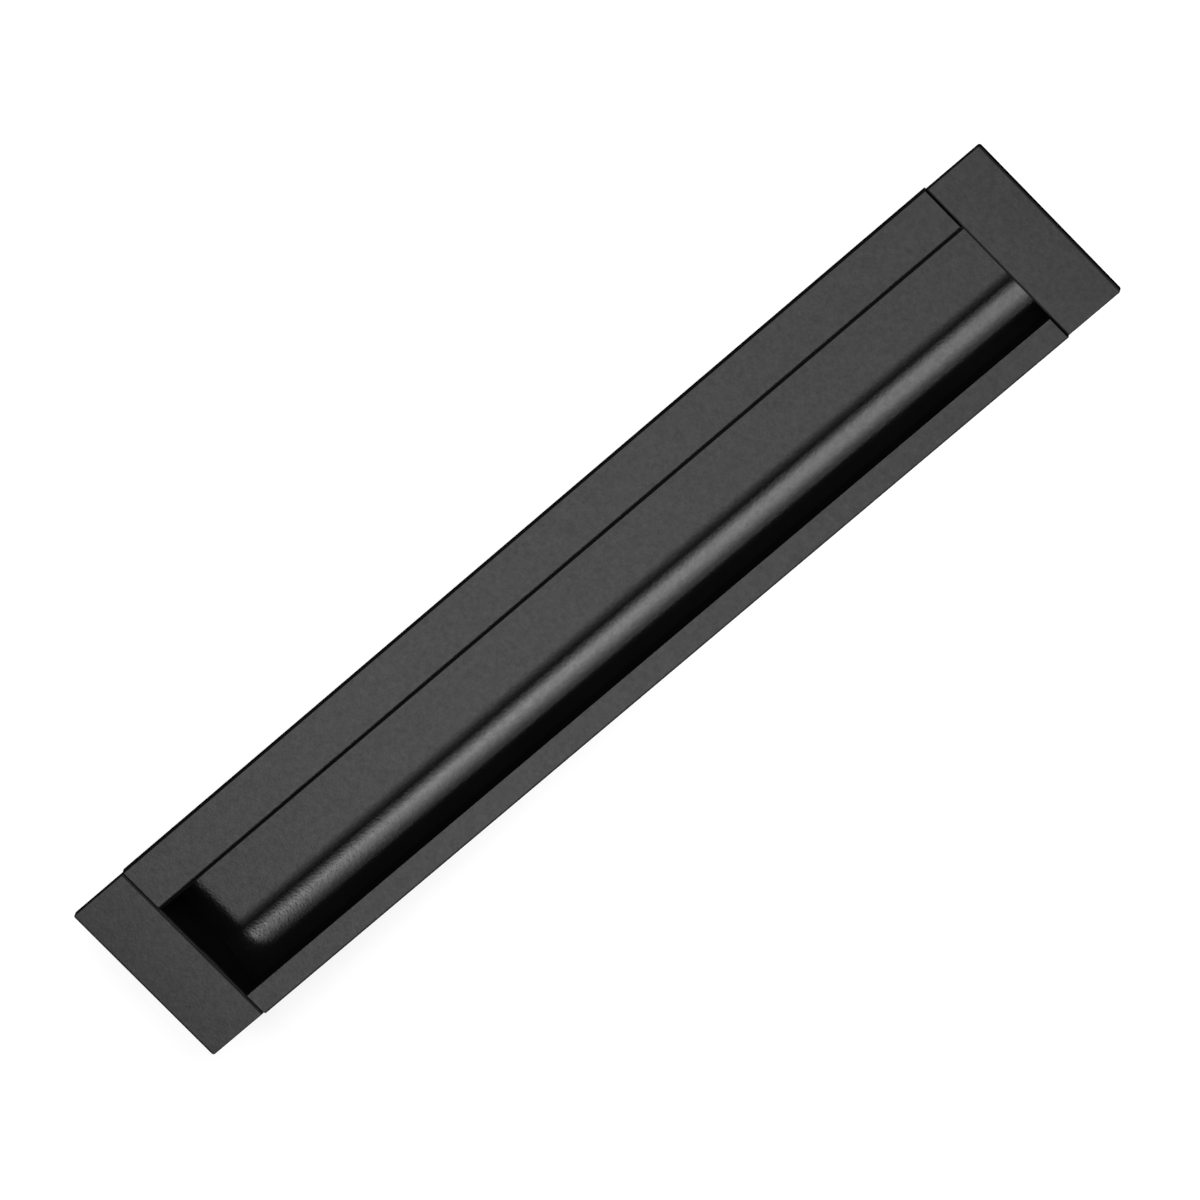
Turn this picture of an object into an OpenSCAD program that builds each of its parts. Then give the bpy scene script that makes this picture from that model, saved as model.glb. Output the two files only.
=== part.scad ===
// Recessed finger pull: an extruded channel with a wide lip, closed by two die-cast end caps.
// X runs along the channel, +Y points towards the lip and +Z points out of the face.
// The origin lies on the back plane, midway between the two fixing holes.

/* [Overall] */
// Distance between the two fixing holes
hole_pitch = 160; // [64:1:480]
// Width of the channel across both flanges
face_w = 28.5; // [26:0.1:40]
// Depth from the back plane to the face
depth = 10; // [9.5:0.1:14]

/* [Channel] */
// Thickness of both flanges and of the caps' face plates
flange_t = 1; // [0.8:0.1:2]
// Width of the lip that covers the finger space
lip_w = 7.75; // [5:0.05:9]
// Thickness of the floor and the walls
wall_t = 1.5; // [1.3:0.1:2]
// How far each flange reaches past the wall under it
overlap = 2.2; // [1.5:0.1:3]
// Radius of the hollow that rises from the floor towards the narrow rail
floor_r = 9; // [7:0.1:12]
// Width of that hollow, from the flat floor to the wall under the rail
floor_run = 7.8; // [6:0.1:8]
// Radius from the floor up to the wall under the lip
grip_r = 6.1; // [5.5:0.1:7]
// Radius in the corner between the lip and its wall
root_r = 0.8; // [0.3:0.1:1.2]
// Radius on the outer edges of the face
edge_r = 0.3; // [0.1:0.05:0.5]

/* [Screw ports] */
// Width of the slot along each screw port
slot_w = 0.8; // [0.5:0.1:1.2]
// Gap between a screw's core and its port
port_gap = 0.1; // [0.05:0.01:0.15]

/* [End caps] */
// Length of a cap along the channel
cap_l = 10; // [9:0.1:14]
// How much narrower than the channel a cap is, each side
cap_inset = 0.25; // [0.1:0.05:0.5]
// Radius of the caps' outer corners, seen from the face
corner_r = 0.6; // [0.4:0.1:2]
// Thickness of the wall that closes the channel
end_t = 2; // [1.5:0.1:2.5]
// Core diameter of the fixing thread
tap_d = 3.3; // [2.5:0.1:4]
// Metal round the fixing thread, in its boss
boss_t = 1.35; // [1.1:0.05:1.6]
// Metal left between the blind hole and the face
tap_floor = 2.5; // [2:0.1:4]
// Countersink at the mouth of the fixing hole
tap_sink = 0.4; // [0.2:0.1:0.8]
// Thickness of the two ribs beside the boss
rib_t = 1.4; // [1:0.1:2]
// Height above the back plane at which the ribs start
rib_foot = 1.5; // [0.5:0.1:4]

/* [Cap screws] */
// Thread diameter
screw_d = 2.2; // [2:0.1:2.4]
// Depth of the thread
thread_h = 0.25; // [0.2:0.05:0.35]
// Length under the head
screw_l = 9.5; // [6.5:0.5:16]
// Diameter of the head
head_d = 3.8; // [3.4:0.1:4]
// Height of the head
head_h = 1.3; // [1:0.1:1.6]
// Room between a head and the back plane
head_gap = 0.05; // [0.05:0.05:0.2]
// Gap between the thread and its hole in the cap
hole_gap = 0.15; // [0.1:0.05:0.2]

/* [Hidden] */
$fn = 64;
coat = [0.10, 0.10, 0.105];
steel = [0.55, 0.56, 0.58];
// A cut runs this far past the face that it leaves through
past = 1;
// The boss touches the channel's end, so its radius is also the hole's distance from there
boss_r = tap_d / 2 + boss_t;
// Half the channel's length, which is where each cap begins
joint_x = hole_pitch / 2 - boss_r;
// Half the width of the trough, outside and inside its walls
trough_y = face_w / 2 - overlap;
recess_y = trough_y - wall_t;
under_z = depth - flange_t;
nose_r = flange_t / 2;
nose_y = face_w / 2 - lip_w + nose_r;
// Height that the hollow may take up, below the rounded edge of the rail
hollow_h = depth - wall_t - edge_r;
// A hollow of a larger radius than that meets the wall before it stands upright
full_run = floor_r > hollow_h ? sqrt(pow(floor_r, 2) - pow(floor_r - hollow_h, 2)) : floor_r;
hollow_run = min(floor_run, full_run);
grip_fillet = min(grip_r, under_z - wall_t - root_r);
// Ports and heads sit in the lower corners of the trough's outline
port_r = head_d / 2 + head_gap;
port_y = trough_y - port_r;
core_r = screw_d / 2 - thread_h;
bore_r = core_r + port_gap;
screw_hole_r = screw_d / 2 + hole_gap;
point_l = 1.2;
dome_r = 4.5;
cross_l = 2;
cross_w = 0.5;
cross_h = 0.8;

// What rounds an inner corner off: the corner at the origin, the round side towards +X and +Y.
// The round touches the X axis at run, which is less than r where it meets the Y axis at a slant.
module corner_fill(r, run) {
    difference() {
        square([run, r]);
        translate([run, r]) circle(r);
    }
}

// A box whose two lower corners are round, drawn across the channel
module trough(y0, y1, z0, z1, r0, run0, r1) {
    difference() {
        translate([y0, z0]) square([y1 - y0, z1 - z0]);
        translate([y0, z0]) corner_fill(r0, run0);
        translate([y1, z0]) mirror([1, 0]) corner_fill(r1, r1);
    }
}

// A bar whose upper corners are round, on its left, its right or both sides
module bar(y0, y1, z0, z1, r0, r1) {
    translate([y0, z0]) square([y1 - y0, z1 - z0 - max(r0, r1)]);
    translate([y0 + r0, z0]) square([y1 - r1 - y0 - r0, z1 - z0]);
    if (r0 > 0) translate([y0 + r0, z1 - r0]) circle(r0);
    if (r1 > 0) translate([y1 - r1, z1 - r1]) circle(r1);
}

module port(side) {
    translate([side * port_y, port_r]) circle(port_r);
}

module port_bore(side) {
    translate([side * port_y, port_r]) {
        circle(bore_r);
        translate([side > 0 ? 0 : -port_r - past, -slot_w / 2]) square([port_r + past, slot_w]);
    }
}

module channel_section() {
    difference() {
        union() {
            trough(-trough_y, trough_y, 0, under_z,
                   floor_r + wall_t, hollow_run + wall_t, grip_fillet + wall_t);
            for (side = [-1, 1]) port(side);
        }
        trough(-recess_y, recess_y, wall_t, depth, floor_r, hollow_run, grip_fillet);
        for (side = [-1, 1]) port_bore(side);
    }
    bar(-face_w / 2, -recess_y, under_z, depth, edge_r, edge_r);
    bar(nose_y, face_w / 2, under_z, depth, 0, edge_r);
    translate([nose_y, under_z + nose_r]) circle(nose_r);
    translate([recess_y, under_z]) rotate(180) corner_fill(root_r, root_r);
}

// Turns a section drawn across the channel so that it runs along X from x0 to x1
module along_x(x0, x1) {
    translate([x0, 0, 0]) rotate([90, 0, 90]) linear_extrude(height = x1 - x0) children();
}

module profile() {
    color(coat) along_x(-joint_x, joint_x) channel_section();
}

// A cap is drawn with the channel's end at x = 0 and its own outer end at x = cap_l
module cap_plate() {
    half_w = face_w / 2 - cap_inset;
    intersection() {
        along_x(0, cap_l) bar(-half_w, half_w, under_z, depth, edge_r, edge_r);
        translate([0, half_w, 0]) rotate([90, 0, 0]) linear_extrude(height = 2 * half_w)
            bar(0, cap_l, under_z, depth, edge_r, edge_r);
        translate([0, 0, under_z]) linear_extrude(height = flange_t) {
            translate([0, -half_w]) square([cap_l - corner_r, 2 * half_w]);
            translate([0, corner_r - half_w]) square([cap_l, 2 * (half_w - corner_r)]);
            for (side = [-1, 1])
                translate([cap_l - corner_r, side * (half_w - corner_r)]) circle(corner_r);
        }
    }
}

// A rib ties the plate to the end wall, halfway between the boss and a screw head.
// It reaches no further out than the boss, so both fit the same slot.
module cap_rib(side) {
    middle_y = (boss_r + port_y - port_r) / 2;
    translate([0, side * middle_y + rib_t / 2, 0]) rotate([90, 0, 0]) linear_extrude(height = rib_t)
        polygon([[0, under_z], [0, rib_foot], [end_t, rib_foot], [2 * boss_r, under_z]]);
}

// The fixing hole, blind and with a countersink where the screw enters from behind
module tap_hole() {
    translate([boss_r, 0, 0]) {
        translate([0, 0, -past]) cylinder(d = tap_d, h = depth - tap_floor + past);
        cylinder(r1 = tap_d / 2 + tap_sink, r2 = tap_d / 2, h = tap_sink);
    }
}

module cap_body() {
    difference() {
        union() {
            cap_plate();
            along_x(0, end_t) trough(-trough_y, trough_y, 0, under_z, port_r, port_r, port_r);
            translate([boss_r, 0, 0]) cylinder(r = boss_r, h = under_z);
            translate([0, -boss_r, 0]) cube([boss_r, 2 * boss_r, under_z]);
            for (side = [-1, 1]) cap_rib(side);
        }
        tap_hole();
        for (side = [-1, 1])
            translate([-past, side * port_y, port_r]) rotate([0, 90, 0])
                cylinder(r = screw_hole_r, h = end_t + 2 * past);
    }
}

// A screw is drawn with the underside of its head at the origin and its head towards +Z
module cap_screw() {
    difference() {
        union() {
            intersection() {
                cylinder(d = head_d, h = head_h);
                translate([0, 0, head_h - dome_r]) sphere(r = dome_r);
            }
            translate([0, 0, point_l - screw_l]) cylinder(r = core_r, h = screw_l - point_l);
            translate([0, 0, -screw_l]) cylinder(r1 = 0, r2 = core_r, h = point_l);
        }
        for (turn = [0, 90]) rotate([0, 0, turn])
            translate([-cross_l / 2, -cross_w / 2, head_h - cross_h]) cube([cross_l, cross_w, past]);
    }
}

// Puts what is drawn from the channel's end outwards at the right end
module at_right_end() {
    translate([joint_x, 0, 0]) children();
}

module at_left_end() {
    mirror([1, 0, 0]) at_right_end() children();
}

module end_cap_left() {
    color(coat) at_left_end() cap_body();
}

module end_cap_right() {
    color(coat) at_right_end() cap_body();
}

module screw_pair() {
    for (side = [-1, 1])
        translate([end_t, side * port_y, port_r]) rotate([0, 90, 0]) cap_screw();
}

module cap_screws() {
    color(steel) {
        at_left_end() screw_pair();
        at_right_end() screw_pair();
    }
}

profile();
end_cap_left();
end_cap_right();
cap_screws();
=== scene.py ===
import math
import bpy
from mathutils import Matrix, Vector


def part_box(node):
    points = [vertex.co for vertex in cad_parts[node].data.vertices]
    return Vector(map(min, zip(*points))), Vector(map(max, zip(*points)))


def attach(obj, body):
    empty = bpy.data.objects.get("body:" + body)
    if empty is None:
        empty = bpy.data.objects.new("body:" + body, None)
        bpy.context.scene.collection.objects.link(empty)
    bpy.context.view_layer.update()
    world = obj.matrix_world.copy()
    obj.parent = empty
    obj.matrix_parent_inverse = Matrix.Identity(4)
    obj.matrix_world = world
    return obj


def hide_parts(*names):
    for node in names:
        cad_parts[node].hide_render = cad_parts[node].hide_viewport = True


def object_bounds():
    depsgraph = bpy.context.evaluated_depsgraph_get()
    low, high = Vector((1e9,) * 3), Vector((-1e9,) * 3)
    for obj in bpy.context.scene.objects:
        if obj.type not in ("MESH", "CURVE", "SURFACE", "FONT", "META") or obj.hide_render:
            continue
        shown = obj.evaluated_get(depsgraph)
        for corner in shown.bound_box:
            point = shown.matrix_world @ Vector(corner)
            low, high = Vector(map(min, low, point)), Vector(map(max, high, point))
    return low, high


bl_info = {
    "name": "Recessed Shell Handle",
    "version": (1, 0, 0),
    "blender": (4, 5, 0),
    "location": "3D View > Sidebar > Handle",
    "description": "Finishes the channel, end caps and screws of a recessed pull and lights it",
    "category": "Object",
}

import bmesh
import bpy
from bpy.props import FloatProperty, FloatVectorProperty, PointerProperty
from bpy.types import Operator, Panel, PropertyGroup
from mathutils import Matrix, Vector

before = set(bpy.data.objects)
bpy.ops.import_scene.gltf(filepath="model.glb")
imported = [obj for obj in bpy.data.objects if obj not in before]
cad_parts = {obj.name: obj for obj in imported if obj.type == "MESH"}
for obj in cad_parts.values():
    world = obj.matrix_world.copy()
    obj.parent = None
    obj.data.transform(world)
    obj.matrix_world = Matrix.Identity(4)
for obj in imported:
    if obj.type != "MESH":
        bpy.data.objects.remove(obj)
cad_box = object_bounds()

MM = 0.001
BODY = "root"
ENDS = (("left", -1), ("right", 1))
PROFILE_LO, PROFILE_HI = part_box("profile")
CAP_LO, CAP_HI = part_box("end_cap_right")
SCREWS_LO, SCREWS_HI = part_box("cap_screws")
# The screws' box runs from head to head, and its height is one head
HEAD_D = SCREWS_HI.z - SCREWS_LO.z
SCREW_Y = SCREWS_HI.y - HEAD_D / 2
SCREW_Z = (SCREWS_HI.z + SCREWS_LO.z) / 2
FACE_Z = PROFILE_HI.z
JOINT_X = PROFILE_HI.x


def length(name, description, default, **more):
    """A size in metres, shown in the panel with its unit."""
    return FloatProperty(
        name=name, description=description, default=default, unit="LENGTH", precision=5, **more
    )


def number(name, description, default):
    """A plain number in the panel."""
    return FloatProperty(name=name, description=description, default=default)


def colour(name, description, default):
    """A colour in the panel, as linear red, green and blue."""
    return FloatVectorProperty(
        name=name, description=description, default=default, subtype="COLOR", size=3, min=0, max=1
    )


class ChannelSizes(PropertyGroup):
    flange: length("Flange", "Thickness of both flanges", 1 * MM)
    lip: length("Lip", "Width of the lip over the finger space", 7.75 * MM)
    nose: length("Nose", "Reach of the lip's round front edge", 1.15 * MM)
    nose_rise: length("Nose rise", "Height of that edge above its tip", 0.4 * MM)
    wall: length("Wall", "Thickness of the floor and the walls", 1.5 * MM)
    overlap: length("Overlap", "Reach of a flange past the wall under it", 2.2 * MM)
    hollow_radius: length("Hollow radius", "Round from the floor up towards the rail", 9 * MM)
    hollow_run: length("Hollow run", "Width of that round, from floor to wall", 7.8 * MM)
    grip_radius: length("Grip radius", "Round from the floor up behind the lip", 6.1 * MM)
    root_radius: length("Root radius", "Round between the lip and its wall", 0.8 * MM)
    edge: length("Edge", "Chamfer along the two outer edges of the face", 0.3 * MM)
    inner_edge: length("Inner edge", "Round on the rail's edge over the hollow", 0.1 * MM)
    slot: length("Port slot", "Width of the slot along a screw port", 0.8 * MM)
    port_bore: length("Port bore", "Radius of a screw port", 0.95 * MM)
    deburr: length("Deburring", "Bevel round the sawn ends", 0.12 * MM)


class CapSizes(PropertyGroup):
    end_wall: length("End wall", "Thickness of the wall that closes the channel", 2 * MM)
    corner: length("Corner", "Round on the outer corners of the plate", 0.4 * MM)
    edge: length("Edge", "Chamfer along the two sides of the plate", 0.15 * MM)
    end_slope: length("End slope", "Width of the slope along the outer end of the plate", 0.3 * MM)
    end_drop: length("End drop", "Height of that slope", 0.1 * MM)
    seam: length("Seam", "Round on the edge of the plate that meets the channel", 0.6 * MM)
    tap: length("Tap drill", "Core diameter of the fixing thread", 3.3 * MM)
    thread: length("Thread", "Outer diameter of the fixing thread", 4 * MM)
    pitch: length("Pitch", "Pitch of the fixing thread", 0.7 * MM)
    boss_wall: length("Boss wall", "Metal round the fixing thread", 1.35 * MM)
    tap_floor: length("Tap floor", "Metal between the blind hole and the face", 2.5 * MM)
    tap_sink: length("Countersink", "Countersink at the mouth of the fixing hole", 0.4 * MM)
    rib: length("Rib", "Thickness of the ribs beside the boss", 1.4 * MM)
    rib_foot: length("Rib foot", "Height at which the ribs start", 1.5 * MM)
    screw_hole: length("Screw hole", "Radius of the holes for the cap screws", 1.25 * MM)


class ScrewSizes(PropertyGroup):
    thread: length("Thread", "Outer diameter of the thread", 2.2 * MM)
    core: length("Core", "Diameter under the thread", 1.7 * MM)
    pitch: length("Pitch", "Pitch of the thread", 0.8 * MM)
    reach: length("Length", "Length under the head", 9.5 * MM)
    point: length("Point", "Length of the point", 1.2 * MM)
    head: length("Head height", "Height of the pan head", 1.3 * MM)
    brim: length("Brim", "Height of the head's upright rim", 0.85 * MM)
    crown: length("Crown", "Radius of the head's top", 4.5 * MM)
    crown_inset: length("Crown inset", "From the head's rim in to where its top starts", 0.15 * MM)
    bevel: length("Bevel", "Bevel under the rim of the head", 0.12 * MM)
    recess_width: length("Recess width", "Width of the cross recess", 0.44 * MM)
    recess: length("Recess", "Length of the cross recess", 2 * MM)
    recess_depth: length("Recess depth", "Depth of the cross recess", 0.8 * MM)


class CoatFinish(PropertyGroup):
    channel_colour: colour("Channel", "Black coat of the channel", (0.0025, 0.0025, 0.0026))
    cap_colour: colour("Caps", "Black coat of the end caps", (0.0025, 0.0025, 0.0026))
    channel_roughness: number("Channel roughness", "Roughness of the coat", 0.13)
    cap_roughness: number("Cap roughness", "Roughness of the cast caps", 0.18)
    # Painted shade: the shine that steep faces keep at a low view, where the sides are darkened
    painted_shade_edge_shine: number("Edge shine", "Shine left on steep faces at a low view", 0)
    shine: number("Shine", "Specular level of the coat", 0.5)
    grain: length("Grain", "Size of the coat's grain", 0.35 * MM)
    grain_height: length("Grain height", "Height of the coat's grain", 0.012 * MM)
    screw_colour: colour("Screws", "Zinc plating of the screws", (0.55, 0.56, 0.58))


class StudioSetup(PropertyGroup):
    azimuth: number("Azimuth", "Where the camera stands, degrees", 118.79)
    elevation: number("Elevation", "Height of the camera, degrees", 65.75)
    roll: number("Roll", "Roll of the camera, degrees", -161.32)
    aim_x: length("Aim along", "Middle of the picture, along the face", 2.02 * MM)
    aim_y: length("Aim across", "Middle of the picture, across the face", -0.05 * MM)
    distance: length("Distance", "From the face to the camera", 1.9)
    lens: number("Lens", "Focal length in millimetres", 417.38)
    reach: length("Reach", "From the handle to the soft boxes", 0.9)
    floor_glow: number("Floor glow", "Light of its own that the camera sees on the floor", 0.78)
    floor_colour: colour("Floor", "Colour of the floor", (0.3, 0.3, 0.3))
    sky_colour: colour("Room", "Dim light of the room", (0.015, 0.015, 0.015))
    wall_colour: colour("Walls", "Light of the room's pale walls", (0.35, 0.35, 0.35))


def new_piece(name, bm, materials, limit=32):
    """Makes an object of a bmesh, facing out, and smooth but for edges sharper than the limit."""
    bmesh.ops.recalc_face_normals(bm, faces=bm.faces)
    for face in bm.faces:
        face.smooth = True
    for edge in bm.edges:
        edge.smooth = edge.calc_face_angle(0) < math.radians(limit)
    mesh = bpy.data.meshes.new(name)
    bm.to_mesh(mesh)
    bm.free()
    for material in materials:
        mesh.materials.append(material)
    piece = bpy.data.objects.new(name, mesh)
    bpy.context.scene.collection.objects.link(piece)
    return piece


def settle(piece):
    """Takes a piece's modifiers into its mesh."""
    done = piece.evaluated_get(bpy.context.evaluated_depsgraph_get())
    mesh = bpy.data.meshes.new_from_object(done)
    piece.modifiers.clear()
    old, piece.data = piece.data, mesh
    bpy.data.meshes.remove(old)


def weigh_normals(piece):
    """Lets the flat faces keep their own normals where small rounds meet them."""
    flats = piece.modifiers.new("Flat faces", "WEIGHTED_NORMAL")
    flats.keep_sharp = True
    flats.weight = 100
    settle(piece)
    return piece


def box(bm, low, high):
    """Adds a box between two corners."""
    low, high = Vector(low), Vector(high)
    place = Matrix.Translation((low + high) / 2) @ Matrix.Diagonal((*(high - low), 1))
    bmesh.ops.create_cube(bm, size=1, matrix=place)


def edges_of(bm, wanted):
    """The edges whose middle and direction pass a test, always in the same order."""
    found = []
    for edge in bm.edges:
        a, b = edge.verts
        if wanted((a.co + b.co) / 2, (b.co - a.co).normalized()):
            found.append(edge)
    return found


def round_edges(bm, edges, radius, segments=6):
    """Rounds these edges off."""
    bmesh.ops.bevel(
        bm, geom=edges, offset=radius, offset_type="OFFSET", segments=segments, profile=0.5,
        affect="EDGES", clamp_overlap=True, material=-1,
    )


def extrude_by(bm, face, shift):
    """Draws a face out into a solid bar."""
    run = bmesh.ops.extrude_face_region(bm, geom=[face], use_keep_orig=True)["geom"]
    moved = [part for part in run if isinstance(part, bmesh.types.BMVert)]
    bmesh.ops.translate(bm, verts=moved, vec=shift)


# The channel's section is drawn with a pen, a vertex that lines and spins carry across the page.
# An arc has a point every so many degrees, and the lip's front edge this many steps.
ARC_STEP = 3
NOSE_STEPS = 48


def pen_line(bm, pen, y, z):
    """Carries the pen straight to a point."""
    pen = bmesh.ops.extrude_vert_indiv(bm, verts=[pen])["verts"][0]
    pen.co.y, pen.co.z = y, z
    return pen


def pen_arc(bm, pen, centre, end, clockwise=False):
    """Carries the pen round a centre until it stands in a direction from there, in degrees."""
    start = math.degrees(math.atan2(pen.co.z - centre[1], pen.co.y - centre[0]))
    turn = -((start - end) % 360) if clockwise else (end - start) % 360
    made = bmesh.ops.spin(
        bm, geom=[pen], cent=(pen.co.x, *centre), axis=(1, 0, 0), angle=math.radians(turn),
        steps=max(4, math.ceil(abs(turn) / ARC_STEP)), use_duplicate=False,
    )
    return next(part for part in made["geom_last"] if isinstance(part, bmesh.types.BMVert))


def on_circle(centre, radius, angle):
    """The point of a circle in a direction from its centre, in degrees."""
    turn = math.radians(angle)
    return centre[0] + radius * math.cos(turn), centre[1] + radius * math.sin(turn)


def corner_angle(near, far, opposite):
    """The angle between two sides of a triangle, in degrees."""
    return math.degrees(math.acos((near**2 + far**2 - opposite**2) / (2 * near * far)))


def pen_port(bm, pen, size, centre, radius, port, rim, facing):
    """Follows the trough's outer arc to a screw port, round its rim and slotted bore, and on."""
    gap = math.dist(centre, port)
    away = math.degrees(math.atan2(port[1] - centre[1], port[0] - centre[0]))
    in_bore = math.degrees(math.asin(size.slot / 2 / size.port_bore))
    on_rim = math.degrees(math.asin(size.slot / 2 / rim))
    pen = pen_arc(bm, pen, centre, away - corner_angle(gap, radius, rim))
    pen = pen_arc(bm, pen, port, facing - on_rim)
    pen = pen_line(bm, pen, *on_circle(port, size.port_bore, facing - in_bore))
    pen = pen_arc(bm, pen, port, facing + in_bore, clockwise=True)
    pen = pen_line(bm, pen, *on_circle(port, rim, facing + on_rim))
    return pen_arc(bm, pen, port, away + 180 - corner_angle(gap, rim, radius))


def draw_section(bm, size, x):
    """The channel's outline, anticlockwise from the near end of its flat back."""
    outer_y = PROFILE_HI.y - size.overlap
    inner_y = outer_y - size.wall
    base_z = PROFILE_LO.z
    floor_z = base_z + size.wall
    under_z = FACE_Z - size.flange
    rim = SCREW_Z - base_z
    edge = size.edge
    grip = (inner_y - size.grip_radius, floor_z + size.grip_radius)
    hollow = (size.hollow_run - inner_y, floor_z + size.hollow_radius)
    hollow_out = size.hollow_radius + size.wall
    hollow_rise = math.sqrt(size.hollow_radius**2 - size.hollow_run**2)
    outer_rise = math.sqrt(hollow_out**2 - (size.hollow_run + size.wall) ** 2)
    nose_tip = PROFILE_HI.y - size.lip
    root = (inner_y - size.root_radius, under_z - size.root_radius)

    start = bm.verts.new((x, hollow[0], base_z))
    pen = pen_line(bm, start, grip[0], base_z)
    # Behind the lip: round the screw port and on up to the flange
    pen = pen_port(bm, pen, size, grip, size.grip_radius + size.wall, (SCREW_Y, SCREW_Z), rim, 0)
    pen = pen_arc(bm, pen, grip, 0)
    pen = pen_line(bm, pen, outer_y, under_z)
    # The lip, with its rounded front edge
    pen = pen_line(bm, pen, PROFILE_HI.y, under_z)
    pen = pen_line(bm, pen, PROFILE_HI.y, FACE_Z - edge)
    pen = pen_line(bm, pen, PROFILE_HI.y - edge, FACE_Z)
    for step in range(NOSE_STEPS + 1):
        y, z = on_circle((0, 0), 1, 90 + 180 * step / NOSE_STEPS)
        rise = size.nose_rise if z > 0 else size.flange - size.nose_rise
        pen = pen_line(bm, pen, nose_tip + size.nose * (1 + y), FACE_Z - size.nose_rise + rise * z)
    pen = pen_line(bm, pen, root[0], under_z)
    pen = pen_arc(bm, pen, root, 0, clockwise=True)
    # The finger space: down behind the lip, along the floor and up the hollow to the rail
    pen = pen_line(bm, pen, inner_y, grip[1])
    pen = pen_arc(bm, pen, grip, 270, clockwise=True)
    pen = pen_line(bm, pen, hollow[0], floor_z)
    up_wall = math.degrees(math.atan2(-hollow_rise, -size.hollow_run))
    pen = pen_arc(bm, pen, hollow, up_wall, clockwise=True)
    pen = pen_line(bm, pen, -inner_y, FACE_Z - size.inner_edge)
    # The rail
    pen = pen_arc(bm, pen, (-inner_y - size.inner_edge, FACE_Z - size.inner_edge), 90)
    pen = pen_line(bm, pen, PROFILE_LO.y + edge, FACE_Z)
    pen = pen_line(bm, pen, PROFILE_LO.y, FACE_Z - edge)
    pen = pen_line(bm, pen, PROFILE_LO.y, under_z)
    pen = pen_line(bm, pen, -outer_y, under_z)
    # Under the rail: down the wall, round the other port, and back to the flat
    pen = pen_line(bm, pen, -outer_y, hollow[1] - outer_rise)
    pen = pen_port(bm, pen, size, hollow, hollow_out, (-SCREW_Y, SCREW_Z), rim, 180)
    pen_arc(bm, pen, hollow, 270)
    bmesh.ops.remove_doubles(bm, verts=bm.verts, dist=0.001 * MM)
    return bmesh.ops.contextual_create(bm, geom=bm.edges)["faces"][0]


def make_channel(size, material):
    """The extruded length, with its sawn ends deburred."""
    bm = bmesh.new()
    section = draw_section(bm, size, PROFILE_LO.x)
    extrude_by(bm, section, (PROFILE_HI.x - PROFILE_LO.x, 0, 0))
    ends = edges_of(bm, lambda middle, way: abs(way.x) < 0.5)
    round_edges(bm, ends, size.deburr, segments=2)
    return weigh_normals(new_piece("channel", bm, [material]))


def combine(target, tool, operation="DIFFERENCE"):
    """Cuts one object out of another, or joins it on, and removes it."""
    cut = target.modifiers.new(operation, "BOOLEAN")
    cut.operation = operation
    cut.solver = "EXACT"
    cut.object = tool
    settle(target)
    bpy.data.objects.remove(tool)


# A cutter runs this far past the face that it leaves through
PAST = 1 * MM
# Half the width of a thread's ridge, at its root and at its crest, as shares of the pitch
THREAD_ROOT = 0.42
THREAD_CREST = 0.08
# How far a ridge's root lies inside the metal that it joins
BURIED = 0.1 * MM


def helix(name, turns, pitch, root, crest, axis_x, start_z, steps=32):
    """A closed ridge that winds round an upright axis, with its flat root inside the metal."""
    bm = bmesh.new()
    flank, land = pitch * THREAD_ROOT, pitch * THREAD_CREST
    corners = [(root, -flank), (crest, -land), (crest, land), (root, flank)]
    ring = [bm.verts.new((axis_x + r, 0, start_z + z)) for r, z in corners]
    tooth = bm.faces.new(ring)
    bmesh.ops.spin(
        bm, geom=[tooth, *tooth.edges, *ring], cent=(axis_x, 0, 0), axis=(0, 0, 1),
        dvec=(0, 0, pitch / steps), angle=math.tau * turns, steps=round(steps * turns),
        use_duplicate=False,
    )
    return new_piece(name, bm, [])


def rod(name, centre, radius, low, high, segments=48, along="Z"):
    """A plain round cutter or post, along Z or X."""
    bm = bmesh.new()
    turn = Matrix.Rotation(math.pi / 2, 4, "Y") if along == "X" else Matrix()
    middle = Vector(centre)
    middle["XYZ".index(along)] = (low + high) / 2
    bmesh.ops.create_cone(
        bm, cap_ends=True, segments=segments, radius1=radius, radius2=radius, depth=high - low,
        matrix=Matrix.Translation(middle) @ turn,
    )
    return new_piece(name, bm, [])


def cut_off(bm, point, way):
    """Cuts away what lies past a plane and closes the cut."""
    cut = bmesh.ops.bisect_plane(
        bm, geom=[*bm.verts, *bm.edges, *bm.faces], dist=0.0001 * MM, plane_co=point,
        plane_no=Vector(way).normalized(), clear_outer=True,
    )
    rim = [part for part in cut["geom_cut"] if isinstance(part, bmesh.types.BMEdge)]
    bmesh.ops.edgeloop_fill(bm, edges=rim)


def make_plate(size, under_z):
    """The cap's face plate, round at its corners and its seam and cut at a slant along the rest."""
    bm = bmesh.new()
    box(bm, (CAP_LO.x, CAP_LO.y, under_z), CAP_HI)
    middle_x = (CAP_LO.x + CAP_HI.x) / 2
    corners = edges_of(bm, lambda middle, way: abs(way.z) > 0.5 and middle.x > middle_x)
    round_edges(bm, corners, size.corner, segments=10)
    seam_x, seam_z = CAP_LO.x + size.edge, CAP_HI.z - size.edge
    seam = edges_of(bm, lambda middle, way: middle.x < seam_x and middle.z > seam_z)
    round_edges(bm, seam, size.seam)
    for side in (-1, 1):
        cut_off(bm, (0, side * (CAP_HI.y - size.edge), CAP_HI.z), (0, side, 1))
    cut_off(bm, (CAP_HI.x - size.end_slope, 0, CAP_HI.z), (size.end_drop, 0, size.end_slope))
    return new_piece("plate", bm, [])


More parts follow.
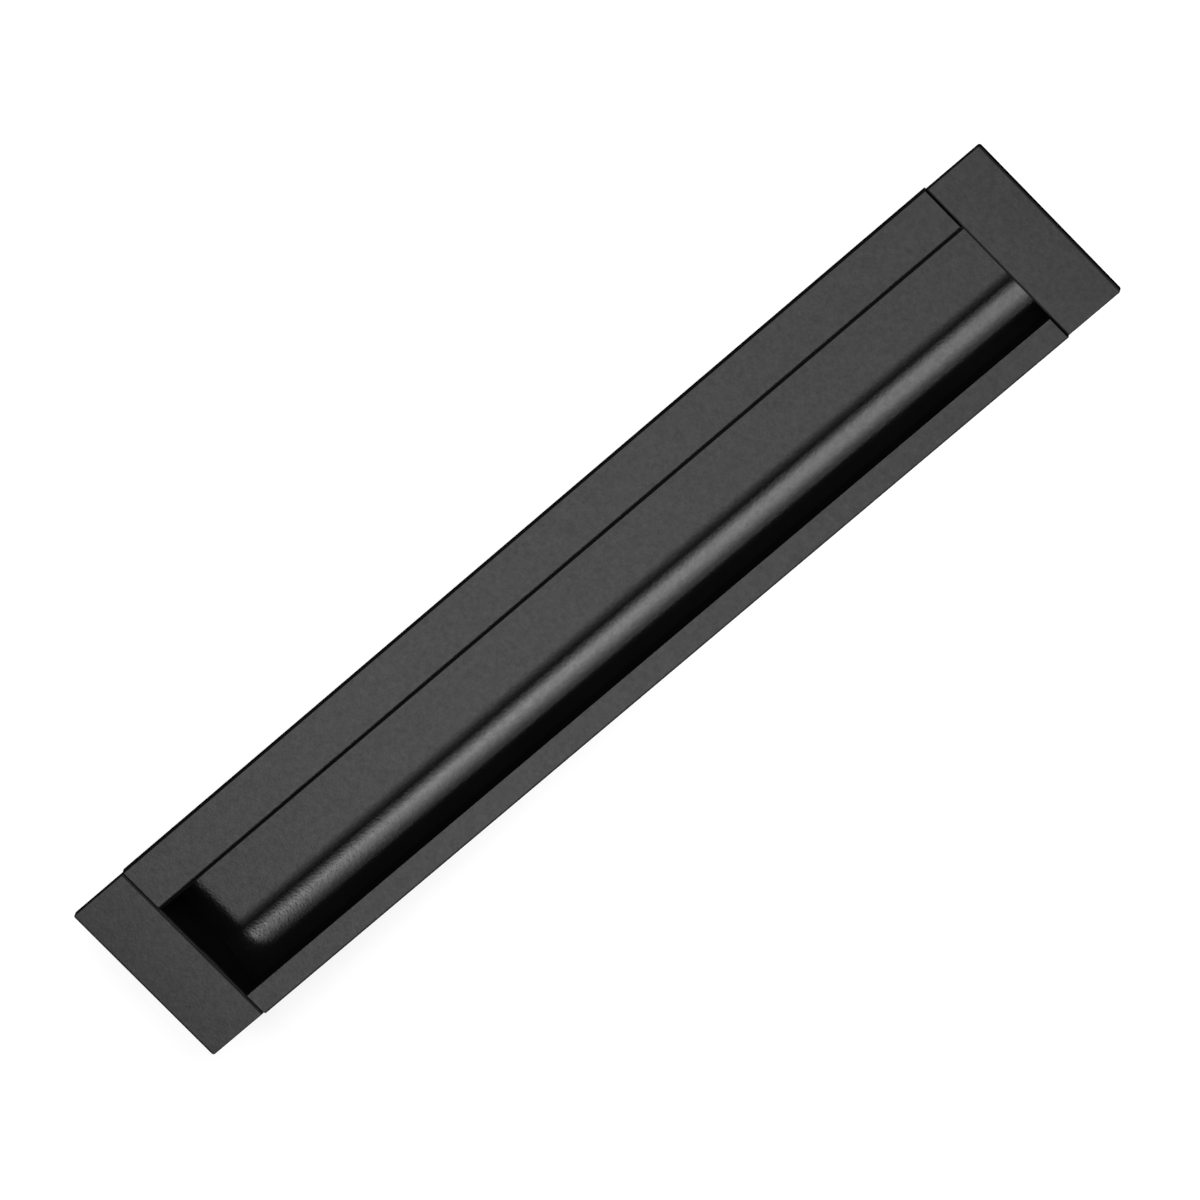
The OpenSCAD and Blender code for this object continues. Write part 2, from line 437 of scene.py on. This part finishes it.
def make_end_wall(size, top_z):
    """The wall across the channel's end, round where the screw ports are."""
    bm = bmesh.new()
    outer_y = SCREW_Y + SCREW_Z - CAP_LO.z
    low = (CAP_LO.x, -outer_y, CAP_LO.z)
    box(bm, low, (CAP_LO.x + size.end_wall, outer_y, top_z))
    feet = edges_of(bm, lambda middle, way: abs(way.x) > 0.5 and middle.z < SCREW_Z)
    round_edges(bm, feet, SCREW_Z - CAP_LO.z, segments=14)
    return new_piece("end_wall", bm, [])


def boss_radius(size):
    """Outer radius of the boss, which is also how far its hole is from the channel's end."""
    return size.tap / 2 + size.boss_wall


def make_rib(size, side, top_z):
    """One of the ribs that tie the plate to the end wall, beside the boss."""
    bm = bmesh.new()
    boss_r = boss_radius(size)
    middle_y = side * (boss_r + SCREW_Y - HEAD_D / 2) / 2
    foot_z = CAP_LO.z + size.rib_foot
    low = (CAP_LO.x + size.end_wall / 2, middle_y - size.rib / 2, foot_z)
    box(bm, low, (CAP_LO.x + 2 * boss_r, middle_y + size.rib / 2, top_z))
    outer_foot = [v for v in bm.verts if v.co.z < SCREW_Z and v.co.x > CAP_LO.x + size.end_wall]
    bmesh.ops.translate(bm, verts=outer_foot, vec=(size.end_wall - 2 * boss_r, 0, 0))
    return new_piece("rib", bm, [])


def countersink(size, hole_x):
    """A cone that opens the mouth of the fixing hole, from just below the back plane."""
    below = 0.2 * MM
    bm = bmesh.new()
    bmesh.ops.create_cone(
        bm, cap_ends=True, segments=64, depth=size.tap_sink + below,
        radius1=size.thread / 2 + below, radius2=size.thread / 2 - size.tap_sink,
        matrix=Matrix.Translation((hole_x, 0, CAP_LO.z + (size.tap_sink - below) / 2)),
    )
    return new_piece("countersink", bm, [])


# What stands under a cap's plate reaches this far into it, so that the two join cleanly
JOIN = 0.3 * MM


def cast_body(size):
    """A cap before it is drilled: its plate, end wall, boss and ribs."""
    under_z = CAP_HI.z - bpy.context.scene.handle_channel.flange
    top_z = under_z + JOIN
    boss_r = boss_radius(size)
    boss_x = CAP_LO.x + boss_r
    cap = make_plate(size, under_z)
    combine(cap, make_end_wall(size, top_z), "UNION")
    boss = rod("boss", (boss_x, 0, 0), boss_r, CAP_LO.z, top_z, segments=64)
    combine(cap, boss, "UNION")
    bm = bmesh.new()
    box(bm, (CAP_LO.x + size.end_wall / 2, -boss_r, CAP_LO.z), (boss_x, boss_r, top_z))
    combine(cap, new_piece("boss_web", bm, []), "UNION")
    for side in (-1, 1):
        combine(cap, make_rib(size, side, top_z), "UNION")
    return cap


def cut_fixing_hole(cap, size):
    """The blind hole for the fixing screw, with its countersink and its thread."""
    hole_x = CAP_LO.x + boss_radius(size)
    tap_top = CAP_HI.z - size.tap_floor
    tap = rod("tap", (hole_x, 0, 0), size.tap / 2, CAP_LO.z - PAST, tap_top, segments=64)
    combine(cap, tap)
    combine(cap, countersink(size, hole_x))
    turns = math.floor((tap_top - CAP_LO.z) / size.pitch) - 1
    winding = helix(
        "tap_thread", turns, size.pitch, size.tap / 2 - BURIED, size.thread / 2, hole_x,
        CAP_LO.z - size.pitch / 2,
    )
    combine(cap, winding)


def cut_screw_holes(cap, size):
    """The two holes through the end wall for the cap's own screws."""
    for y in (-SCREW_Y, SCREW_Y):
        hole = rod(
            "hole", (0, y, SCREW_Z), size.screw_hole, CAP_LO.x - PAST,
            CAP_LO.x + size.end_wall + PAST, segments=32, along="X",
        )
        combine(cap, hole)


def make_cap(name, side, size, material):
    """One cast cap, made at the right end and mirrored for the left."""
    cap = cast_body(size)
    cut_fixing_hole(cap, size)
    cut_screw_holes(cap, size)
    bm = bmesh.new()
    bm.from_mesh(cap.data)
    bpy.data.objects.remove(cap)
    bmesh.ops.remove_doubles(bm, verts=bm.verts, dist=0.0005 * MM)
    if side < 0:
        bmesh.ops.scale(bm, verts=bm.verts, vec=(-1, 1, 1))
    return weigh_normals(new_piece(name, bm, [material]))


# How much of a cross recess's length and width is left at its floor
RECESS_TAPER = (0.45, 0.8, 1)


def cut_recess(screw, size):
    """Two crossed slots in the head, which narrow towards their floor."""
    half_l, half_w = size.recess / 2, size.recess_width / 2
    floor_z = size.head - size.recess_depth
    for turn in (0, math.pi / 2):
        bm = bmesh.new()
        box(bm, (-half_l, -half_w, floor_z), (half_l, half_w, size.head + PAST))
        floor_verts = [v for v in bm.verts if v.co.z < size.head]
        bmesh.ops.scale(bm, verts=floor_verts, vec=RECESS_TAPER)
        bmesh.ops.rotate(bm, verts=bm.verts, cent=(0, 0, 0), matrix=Matrix.Rotation(turn, 3, "Z"))
        combine(screw, new_piece("recess", bm, []))


def make_screw(size):
    """A pan-head screw with its head at the origin and up along +Z."""
    bm = bmesh.new()
    head_r, core_r = HEAD_D / 2, size.core / 2
    # Half of its section, where y is the distance from the screw's axis
    pen = bm.verts.new((0, 0, size.head))
    crown_end = math.degrees(math.acos((head_r - size.crown_inset) / size.crown))
    pen = pen_arc(bm, pen, (0, size.head - size.crown), crown_end, clockwise=True)
    for y, z in (
        (head_r, size.brim), (head_r, size.bevel), (head_r - size.bevel, 0), (core_r, 0),
        (core_r, size.point - size.reach), (0, -size.reach),
    ):
        pen = pen_line(bm, pen, y, z)
    bmesh.ops.spin(
        bm, geom=list(bm.verts) + list(bm.edges), cent=(0, 0, 0), axis=(0, 0, 1),
        angle=math.tau, steps=48, use_merge=True, use_duplicate=False,
    )
    bmesh.ops.remove_doubles(bm, verts=bm.verts, dist=0.001 * MM)
    screw = new_piece("screw", bm, [])
    cut_recess(screw, size)
    turns = math.floor((size.reach - 2 * size.point) / size.pitch)
    ridge = helix(
        "screw_thread", turns, size.pitch, core_r - BURIED, size.thread / 2, 0,
        size.point - size.reach, steps=24,
    )
    combine(screw, ridge, "UNION")
    return screw


# How far a screw has turned at its stop grows with its place across, in radians per metre
STOP_BY_PLACE = 400


def make_screws(size, material):
    """Four of the same screw, two through each end wall."""
    screw = make_screw(size)
    bm = bmesh.new()
    wall = bpy.context.scene.handle_caps.end_wall
    for _, side in ENDS:
        for y in (-SCREW_Y, SCREW_Y):
            known = set(bm.verts)
            bm.from_mesh(screw.data)
            verts = [v for v in bm.verts if v not in known]
            stop = Matrix.Rotation(y * STOP_BY_PLACE + side, 3, "Z")
            turn = Matrix.Rotation(side * math.pi / 2, 3, "Y") @ stop
            bmesh.ops.rotate(bm, verts=verts, cent=(0, 0, 0), matrix=turn)
            bmesh.ops.translate(bm, verts=verts, vec=(side * (JOINT_X + wall), y, SCREW_Z))
    bpy.data.objects.remove(screw)
    bmesh.ops.remove_doubles(bm, verts=bm.verts, dist=0.002 * MM)
    bmesh.ops.dissolve_degenerate(bm, edges=bm.edges, dist=0.002 * MM)
    return new_piece("pan_head_screws", bm, [material])


def connect(tree, given, wanted):
    """Feeds an input with another node's output, or with a plain value."""
    if isinstance(given, bpy.types.NodeSocket):
        tree.links.new(given, wanted)
    else:
        wanted.default_value = given


def math_node(tree, operation, *values):
    """Adds a node that works out one number, and gives its output."""
    made = tree.nodes.new("ShaderNodeMath")
    made.operation = operation
    for given, wanted in zip(values, made.inputs):
        connect(tree, given, wanted)
    return made.outputs[0]


def map_range(tree, value, span, ends=(0, 1)):
    """Adds a node that carries a span of values over to other ends, and gives its output."""
    made = tree.nodes.new("ShaderNodeMapRange")
    for name, level in zip(("From Min", "From Max", "To Min", "To Max"), (*span, *ends)):
        made.inputs[name].default_value = level
    connect(tree, value, made.inputs["Value"])
    return made.outputs["Result"]


def mix_colours(tree, factor, first, second):
    """Adds a node that mixes two colours, and gives its output."""
    made = tree.nodes.new("ShaderNodeMix")
    made.data_type = "RGBA"
    connect(tree, factor, made.inputs["Factor"])
    for name, given in (("A", first), ("B", second)):
        plain = not isinstance(given, bpy.types.NodeSocket)
        connect(tree, (*given, 1) if plain else given, made.inputs[name])
    return made.outputs["Result"]


def shade(colour, share):
    """The same colour, darker or lighter."""
    return tuple(part * share for part in colour)


def socket(group, name, kind, default=None, output=False):
    """Gives a node group an input or an output."""
    made = group.interface.new_socket(
        name=name, in_out="OUTPUT" if output else "INPUT", socket_type=kind
    )
    if default is not None:
        made.default_value = default


# Scales of the coat's noise, as shares of its grain's
NOISE_SCALES = {"fine": 1, "coarse": 0.4, "wide": 0.05}


def coat_grain():
    """The grain of a satin coat: fine pimples, and patches that shine more or less."""
    group = bpy.data.node_groups.new("Coat grain", "ShaderNodeTree")
    socket(group, "Vector", "NodeSocketVector")
    socket(group, "Grain per metre", "NodeSocketFloat", 3000)
    socket(group, "Roughness", "NodeSocketFloat", 0.3)
    socket(group, "Roughness spread", "NodeSocketFloat", 0.04)
    socket(group, "Shine spread", "NodeSocketFloat", 0.5)
    for name in ("Height", "Roughness", "Shine", "Tone"):
        socket(group, name, "NodeSocketFloat", output=True)
    inputs = group.nodes.new("NodeGroupInput").outputs
    masks = {}
    for name, share in NOISE_SCALES.items():
        noise = group.nodes.new("ShaderNodeTexNoise")
        noise.inputs["Detail"].default_value = 2
        connect(group, inputs["Vector"], noise.inputs["Vector"])
        scale = math_node(group, "MULTIPLY", inputs["Grain per metre"], share)
        connect(group, scale, noise.inputs["Scale"])
        # Its middle value is brought to 0
        masks[name] = math_node(group, "SUBTRACT", noise.outputs["Fac"], 0.5)
    grains = math_node(group, "ADD", masks["fine"], masks["coarse"])
    results = {
        "Height": masks["fine"],
        "Roughness": math_node(
            group, "MULTIPLY_ADD", masks["wide"], inputs["Roughness spread"], inputs["Roughness"]
        ),
        "Shine": math_node(group, "MULTIPLY_ADD", grains, inputs["Shine spread"], 1),
        "Tone": math_node(group, "ADD", masks["wide"], 0.5),
    }
    outputs = group.nodes.new("NodeGroupOutput").inputs
    for name, result in results.items():
        connect(group, result, outputs[name])
    return group


def shared_grain():
    """The coat's grain, made once for both finishes."""
    return bpy.data.node_groups.get("Coat grain") or coat_grain()


# How much darker and lighter than its colour the coat's patches are
COAT_PATCHES = 0.2
# Painted shade on the sides: a face loses its shine between these, where 0 looks straight at it and
# 1 is edge on
PAINTED_SHADE_VIEW = (0.15, 0.55)
# A face keeps its shine, free of that painted shade, between these heights of its normal, where 1
# faces straight up
FACES_UP = (0.75, 0.9)


def coat_material(name, group, tint, roughness, finish):
    """Black satin coat with its grain from the shared group, and painted shade that dulls steep
    faces at a low view.
    """
    material = bpy.data.materials.new(name)
    material.use_nodes = True
    tree = material.node_tree
    shader = tree.nodes["Principled BSDF"].inputs
    place = tree.nodes.new("ShaderNodeTexCoord").outputs
    grain = tree.nodes.new("ShaderNodeGroup")
    grain.node_tree = group
    grain.inputs["Grain per metre"].default_value = 1 / finish.grain
    grain.inputs["Roughness"].default_value = roughness
    connect(tree, place["Object"], grain.inputs["Vector"])
    connect(tree, grain.outputs["Roughness"], shader["Roughness"])
    darker, lighter = shade(tint, 1 - COAT_PATCHES), shade(tint, 1 + COAT_PATCHES)
    tone = mix_colours(tree, grain.outputs["Tone"], darker, lighter)
    connect(tree, tone, shader["Base Color"])
    # Painted shade: steep faces lose their shine at a low view, which darkens the sides, but what
    # faces up keeps it
    facing = tree.nodes.new("ShaderNodeLayerWeight")
    facing.inputs["Blend"].default_value = 0.5
    painted_shade_fade = (finish.shine, finish.shine * finish.painted_shade_edge_shine)
    shine_under_painted_shade = map_range(tree, facing.outputs["Facing"], PAINTED_SHADE_VIEW, painted_shade_fade)
    normal = tree.nodes.new("ShaderNodeSeparateXYZ")
    connect(tree, place["Normal"], normal.inputs[0])
    upward = map_range(tree, normal.outputs["Z"], FACES_UP, (0, finish.shine))
    most = math_node(tree, "MAXIMUM", shine_under_painted_shade, upward)
    level = math_node(tree, "MULTIPLY", most, grain.outputs["Shine"])
    connect(tree, level, shader["Specular IOR Level"])
    bump = tree.nodes.new("ShaderNodeBump")
    bump.inputs["Strength"].default_value = 1
    bump.inputs["Distance"].default_value = finish.grain_height
    connect(tree, grain.outputs["Height"], bump.inputs["Height"])
    connect(tree, bump.outputs["Normal"], shader["Normal"])
    return material


# Patches in the zinc: how many to a metre, their roughness and how dark the darkest are
ZINC_SCALE = 900
ZINC_ROUGHNESS = (0.22, 0.42)
ZINC_DARKEST = 0.85


def plated_material(name, tint):
    """Zinc-plated steel: bright, with soft patches in its shine."""
    material = bpy.data.materials.new(name)
    material.use_nodes = True
    tree = material.node_tree
    shader = tree.nodes["Principled BSDF"].inputs
    shader["Metallic"].default_value = 1
    place = tree.nodes.new("ShaderNodeTexCoord").outputs
    patches = tree.nodes.new("ShaderNodeTexNoise")
    patches.inputs["Scale"].default_value = ZINC_SCALE
    patches.inputs["Detail"].default_value = 3
    connect(tree, place["Object"], patches.inputs["Vector"])
    roughness = map_range(tree, patches.outputs["Fac"], (0, 1), ZINC_ROUGHNESS)
    connect(tree, roughness, shader["Roughness"])
    tone = mix_colours(tree, patches.outputs["Fac"], shade(tint, ZINC_DARKEST), tint)
    connect(tree, tone, shader["Base Color"])
    return material


def dress(piece, slot, *nodes):
    """Hangs a piece on the handle's body and hides the nodes that it stands for."""
    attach(piece, BODY)
    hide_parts(*nodes)


class HANDLE_OT_channel(Operator):
    """Make the extruded channel"""

    bl_idname = "handle.channel"
    bl_label = "Channel"

    def execute(self, context):
        finish = context.scene.handle_finish
        material = coat_material(
            "Channel coat", shared_grain(), finish.channel_colour, finish.channel_roughness, finish
        )
        dress(make_channel(context.scene.handle_channel, material), "coated_profile", "profile")
        return {"FINISHED"}


class HANDLE_OT_caps(Operator):
    """Make the two cast end caps"""

    bl_idname = "handle.caps"
    bl_label = "End caps"

    def execute(self, context):
        finish = context.scene.handle_finish
        material = coat_material(
            "Cap coat", shared_grain(), finish.cap_colour, finish.cap_roughness, finish
        )
        for name, side in ENDS:
            cap = make_cap(f"cast_cap_{name}", side, context.scene.handle_caps, material)
            dress(cap, "coated_caps", f"end_cap_{name}")
        return {"FINISHED"}


class HANDLE_OT_screws(Operator):
    """Make the four screws that hold the caps"""

    bl_idname = "handle.screws"
    bl_label = "Cap screws"

    def execute(self, context):
        material = plated_material("Zinc plating", context.scene.handle_finish.screw_colour)
        dress(make_screws(context.scene.handle_screws, material), "screw_steel", "cap_screws")
        return {"FINISHED"}


WHITE = (1, 1, 1)


def make_floor(tint, own_light):
    """A wide pale floor. Camera and gloss see a little of its own light, so it comes out white."""
    bm = bmesh.new()
    bmesh.ops.create_circle(
        bm, cap_ends=True, segments=96, radius=4, matrix=Matrix.Translation((0, 0, cad_box[0].z))
    )
    material = bpy.data.materials.new("Pale floor")
    material.use_nodes = True
    tree = material.node_tree
    pale = tree.nodes["Principled BSDF"]
    pale.inputs["Base Color"].default_value = (*tint, 1)
    pale.inputs["Roughness"].default_value = 0.9
    pale.inputs["Specular IOR Level"].default_value = 0
    pale.inputs["Emission Color"].default_value = (*WHITE, 1)
    ray = tree.nodes.new("ShaderNodeLightPath").outputs
    seen = math_node(tree, "MAXIMUM", ray["Is Camera Ray"], ray["Is Glossy Ray"])
    seen = math_node(tree, "MAXIMUM", seen, ray["Is Transmission Ray"])
    glow = math_node(tree, "MULTIPLY", seen, own_light)
    connect(tree, glow, pale.inputs["Emission Strength"])
    # From below it is clear, so that the handle's back can be seen
    from_below = tree.nodes.new("ShaderNodeNewGeometry").outputs["Backfacing"]
    clear = tree.nodes.new("ShaderNodeBsdfTransparent")
    either = tree.nodes.new("ShaderNodeMixShader")
    for given, wanted in zip((from_below, pale.outputs[0], clear.outputs[0]), either.inputs):
        connect(tree, given, wanted)
    connect(tree, either.outputs[0], tree.nodes["Material Output"].inputs["Surface"])
    floor = new_piece("floor", bm, [material])


# A span holds the lowest and the highest angle from overhead towards the lip, in degrees, and the
# places of both ends along the handle, in metres. Each box has its outer span, its inner span and
# the light that a glossy face would show of its middle.
SOFT_BOXES = (
    ("overhead box", (-34, 9, -0.75, 0.45), (-28, -9, -0.42, -0.36), 1.97),
    ("lip side box", (14.5, 66, -0.478, 0.2), (31, 35, -0.45, -0.41), 6.2),
)
# Below 1, the layers lie closer together near a box's middle
LAYER_SPREAD = 0.65


def hang(lamp, place, turn):
    """Puts a lamp in its place in the room."""
    holder = bpy.data.objects.new(lamp.name, lamp)
    holder.location = place
    holder.rotation_euler = turn
    bpy.context.scene.collection.objects.link(holder)


def softbox(reach, name, outer, inner, radiance, layers=8):
    """A box of light with soft edges: lamps in one place, each inside the one before."""
    for layer in range(layers):
        share = (layer / (layers - 1)) ** LAYER_SPREAD
        low, high, left, right = (a + (b - a) * share for a, b in zip(outer, inner))
        lean = math.radians((low + high) / 2)
        lamp = bpy.data.lights.new(f"{name} {layer + 1}", "AREA")
        lamp.shape = "RECTANGLE"
        lamp.size = right - left
        lamp.size_y = 2 * reach * math.tan(math.radians(high - low) / 2)
        lamp.energy = radiance / layers * math.pi * lamp.size * lamp.size_y
        place = ((left + right) / 2, reach * math.sin(lean), reach * math.cos(lean))
        hang(lamp, place, (-lean, 0, 0))


def round_lamp(name, place, width, radiance):
    """A round lamp that looks at the handle."""
    lamp = bpy.data.lights.new(name, "AREA")
    lamp.shape = "DISK"
    lamp.size = width
    lamp.energy = radiance * math.pi * math.pi * width**2 / 4
    hang(lamp, place, Vector(place).to_track_quat("Z", "Y").to_euler())


def spot_lamp(name, place, aim, angle, width, power):
    """A soft-edged beam that lifts the floor beside the rail."""
    lamp = bpy.data.lights.new(name, "SPOT")
    lamp.spot_size = math.radians(angle)
    lamp.spot_blend = 1
    lamp.shadow_soft_size = width
    lamp.energy = power
    back = Vector(place) - Vector(aim)
    hang(lamp, place, back.to_track_quat("Z", "Y").to_euler())


# The dark gap in the room's walls, as the X of its middle, its half width and where walls begin.
# It lies where the photo's camera looks by way of the handle's gloss.
GAP_X = -0.36
GAP_HALF = 0.15
WALLS_FROM = 0.24
# Heights of a look upwards, from 0 to 1: where the white horizon ends, and where the walls end
HORIZON = (0.05, 0.12)
WALLS_TOP = (0.6, 0.85)


def make_world(tint, wall_glow):
    """A dim room with pale walls, a dark gap in them, and a white horizon."""
    world = bpy.data.worlds.new("Room")
    bpy.context.scene.world = world
    world.use_nodes = True
    tree = world.node_tree
    look = tree.nodes.new("ShaderNodeSeparateXYZ")
    connect(tree, tree.nodes.new("ShaderNodeTexCoord").outputs["Generated"], look.inputs[0])
    along, up = look.outputs["X"], look.outputs["Z"]
    off_gap = math_node(tree, "ABSOLUTE", math_node(tree, "SUBTRACT", along, GAP_X))
    beside = map_range(tree, off_gap, (GAP_HALF, WALLS_FROM))
    under = map_range(tree, up, WALLS_TOP, (1, 0))
    walls = math_node(tree, "MULTIPLY", beside, under)
    room = mix_colours(tree, walls, tint, wall_glow)
    lit = mix_colours(tree, map_range(tree, up, HORIZON), WHITE, room)
    # The camera itself sees white wherever it looks past the floor
    ray = tree.nodes.new("ShaderNodeLightPath").outputs
    behind = math_node(tree, "MAXIMUM", ray["Is Camera Ray"], ray["Is Transmission Ray"])
    connect(tree, mix_colours(tree, behind, lit, WHITE), tree.nodes["Background"].inputs["Color"])


def make_camera(setup):
    """A long lens that looks at the face from the photo's side."""
    lens = bpy.data.cameras.new("Camera")
    lens.lens = setup.lens
    lens.sensor_width = 36
    lens.clip_start, lens.clip_end = 0.05, 20
    camera = bpy.data.objects.new("Camera", lens)
    bpy.context.scene.collection.objects.link(camera)
    turn = (
        Matrix.Rotation(math.radians(setup.azimuth), 4, "Z")
        @ Matrix.Rotation(math.radians(90 - setup.elevation), 4, "X")
        @ Matrix.Rotation(math.radians(setup.roll), 4, "Z")
    )
    aim = Vector((setup.aim_x, setup.aim_y, FACE_Z))
    back = turn.to_3x3() @ Vector((0, 0, 1))
    camera.matrix_world = Matrix.Translation(aim + back * setup.distance) @ turn
    bpy.context.scene.camera = camera


class HANDLE_OT_stage(Operator):
    """Set the floor, the lamps and the camera"""

    bl_idname = "handle.stage"
    bl_label = "Studio"

    def execute(self, context):
        setup = context.scene.handle_studio
        make_floor(setup.floor_colour, setup.floor_glow)
        make_world(setup.sky_colour, setup.wall_colour)
        for box_of_light in SOFT_BOXES:
            softbox(setup.reach, *box_of_light)
        round_lamp("shadow lamp", place=(0.55, 0.3, 0.6), width=0.7, radiance=5.5)
        spot_lamp(
            "fill spot", place=(0.3, -0.55, 0.55), aim=(0.06, -0.045, 0), angle=16, width=0.06,
            power=20,
        )
        make_camera(setup)
        context.scene.view_settings.view_transform = "Standard"
        return {"FINISHED"}


class HANDLE_PT_panel(Panel):
    bl_label = "Shell Handle"
    bl_idname = "HANDLE_PT_panel"
    bl_space_type = "VIEW_3D"
    bl_region_type = "UI"
    bl_category = "Handle"

    def draw(self, context):
        self.list_settings(self.layout.column(align=True), context.scene.handle_finish)
        for operator, group in PARTS:
            column = self.layout.column(align=True)
            column.operator(operator.bl_idname)
            self.list_settings(column, getattr(context.scene, group))

    def list_settings(self, column, settings):
        for name in settings.__annotations__:
            column.prop(settings, name)


GROUPS = {
    "handle_channel": ChannelSizes,
    "handle_caps": CapSizes,
    "handle_screws": ScrewSizes,
    "handle_finish": CoatFinish,
    "handle_studio": StudioSetup,
}
PARTS = (
    (HANDLE_OT_channel, "handle_channel"),
    (HANDLE_OT_caps, "handle_caps"),
    (HANDLE_OT_screws, "handle_screws"),
    (HANDLE_OT_stage, "handle_studio"),
)
CLASSES = (*GROUPS.values(), *(operator for operator, _ in PARTS), HANDLE_PT_panel)


def register():
    for item in CLASSES:
        bpy.utils.register_class(item)
    for name, group in GROUPS.items():
        setattr(bpy.types.Scene, name, PointerProperty(type=group))


def unregister():
    for name in GROUPS:
        delattr(bpy.types.Scene, name)
    for item in reversed(CLASSES):
        bpy.utils.unregister_class(item)


def main():
    register()
    for operator, _ in PARTS:
        section, name = operator.bl_idname.split(".")
        getattr(getattr(bpy.ops, section), name)()


if __name__ == "__main__":
    main()
